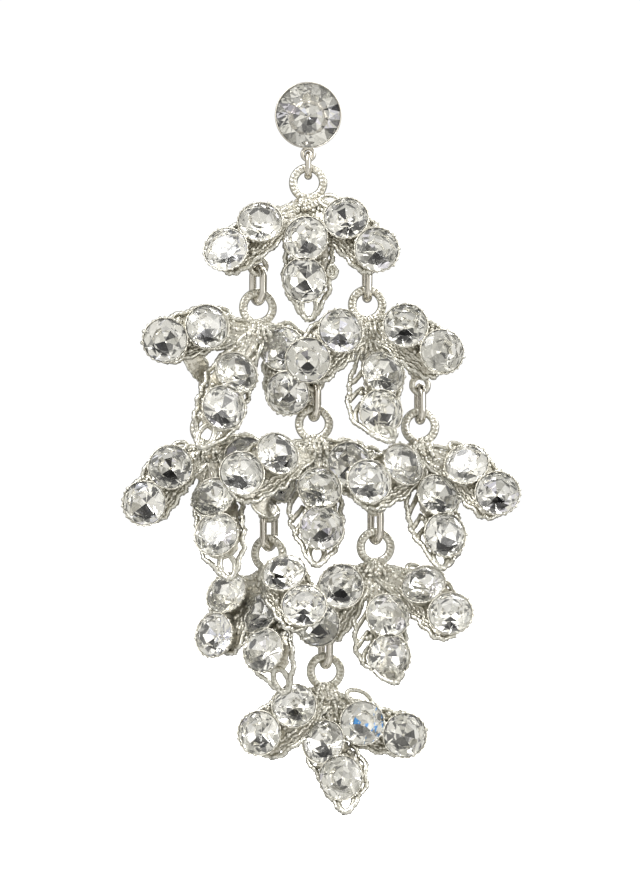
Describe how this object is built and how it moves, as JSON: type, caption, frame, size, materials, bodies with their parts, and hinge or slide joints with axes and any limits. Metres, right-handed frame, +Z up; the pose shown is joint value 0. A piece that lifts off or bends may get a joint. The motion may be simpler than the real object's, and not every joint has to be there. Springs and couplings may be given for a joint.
{
  "type": "chandelier earring",
  "caption": "Pierced chandelier earring: a round crystal stud over a swinging net of linked silver leaf sprays set with round clear crystals.",
  "frame": {"origin": "where the ear post leaves the middle of the back of the stud's cup", "axes": "+Z up along the hanging earring, +Y back along the ear post towards the ear, crystals facing -Y, +X to the right of someone looking at the crystals"},
  "size_m": [0.0411, 0.0188, 0.0758],
  "materials": {
    "cast_silver": "cast, granulated, silver plated, slightly warm in the hollows",
    "wire_silver": "smooth drawn wire, silver plated",
    "crystal": "cut glass rhinestones with a foiled back, opaque to light from behind"
  },
  "bodies": {
    "stud": {"stud_setting": "cast_silver", "stud_crystal": "crystal"},
    "top_link": {"link_stud": "wire_silver"},
    "drop": {"spray_1": "cast_silver", "spray_2_left": "cast_silver", "spray_2_right": "cast_silver", "spray_3_left": "cast_silver", "spray_3_middle": "cast_silver", "spray_3_right": "cast_silver", "spray_4_left": "cast_silver", "spray_4_right": "cast_silver", "spray_5": "cast_silver", "crystals_1_left_leaf": "crystal", "crystals_1_middle_leaf": "crystal", "crystals_1_right_leaf": "crystal", "crystals_2_left_left_leaf": "crystal", "crystals_2_left_middle_leaf": "crystal", "crystals_2_left_right_leaf": "crystal", "crystals_2_right_left_leaf": "crystal", "crystals_2_right_middle_leaf": "crystal", "crystals_2_right_right_leaf": "crystal", "crystals_3_left_left_leaf": "crystal", "crystals_3_left_middle_leaf": "crystal", "crystals_3_left_right_leaf": "crystal", "crystals_3_middle_left_leaf": "crystal", "crystals_3_middle_middle_leaf": "crystal", "crystals_3_middle_right_leaf": "crystal", "crystals_3_right_left_leaf": "crystal", "crystals_3_right_middle_leaf": "crystal", "crystals_3_right_right_leaf": "crystal", "crystals_4_left_left_leaf": "crystal", "crystals_4_left_middle_leaf": "crystal", "crystals_4_left_right_leaf": "crystal", "crystals_4_right_left_leaf": "crystal", "crystals_4_right_middle_leaf": "crystal", "crystals_4_right_right_leaf": "crystal", "crystals_5_left_leaf": "crystal", "crystals_5_middle_leaf": "crystal", "crystals_5_right_leaf": "crystal", "link_2_left": "wire_silver", "link_2_right": "wire_silver", "link_3_left": "wire_silver", "link_3_middle": "wire_silver", "link_3_right": "wire_silver", "link_4_left": "wire_silver", "link_4_right": "wire_silver", "link_5": "wire_silver"}
  },
  "joints": [
    {"name": "link_swing", "type": "hinge", "parent": "stud", "child": "top_link", "pos_m": [0, -0.0022, -0.00455], "axis": [1, 0, 0], "range_deg": [-50, 50]},
    {"name": "drop_swing", "type": "hinge", "parent": "top_link", "child": "drop", "pos_m": [0, -0.0022, -0.00605], "axis": [0, 1, 0], "range_deg": [-25, 25]}
  ]
}
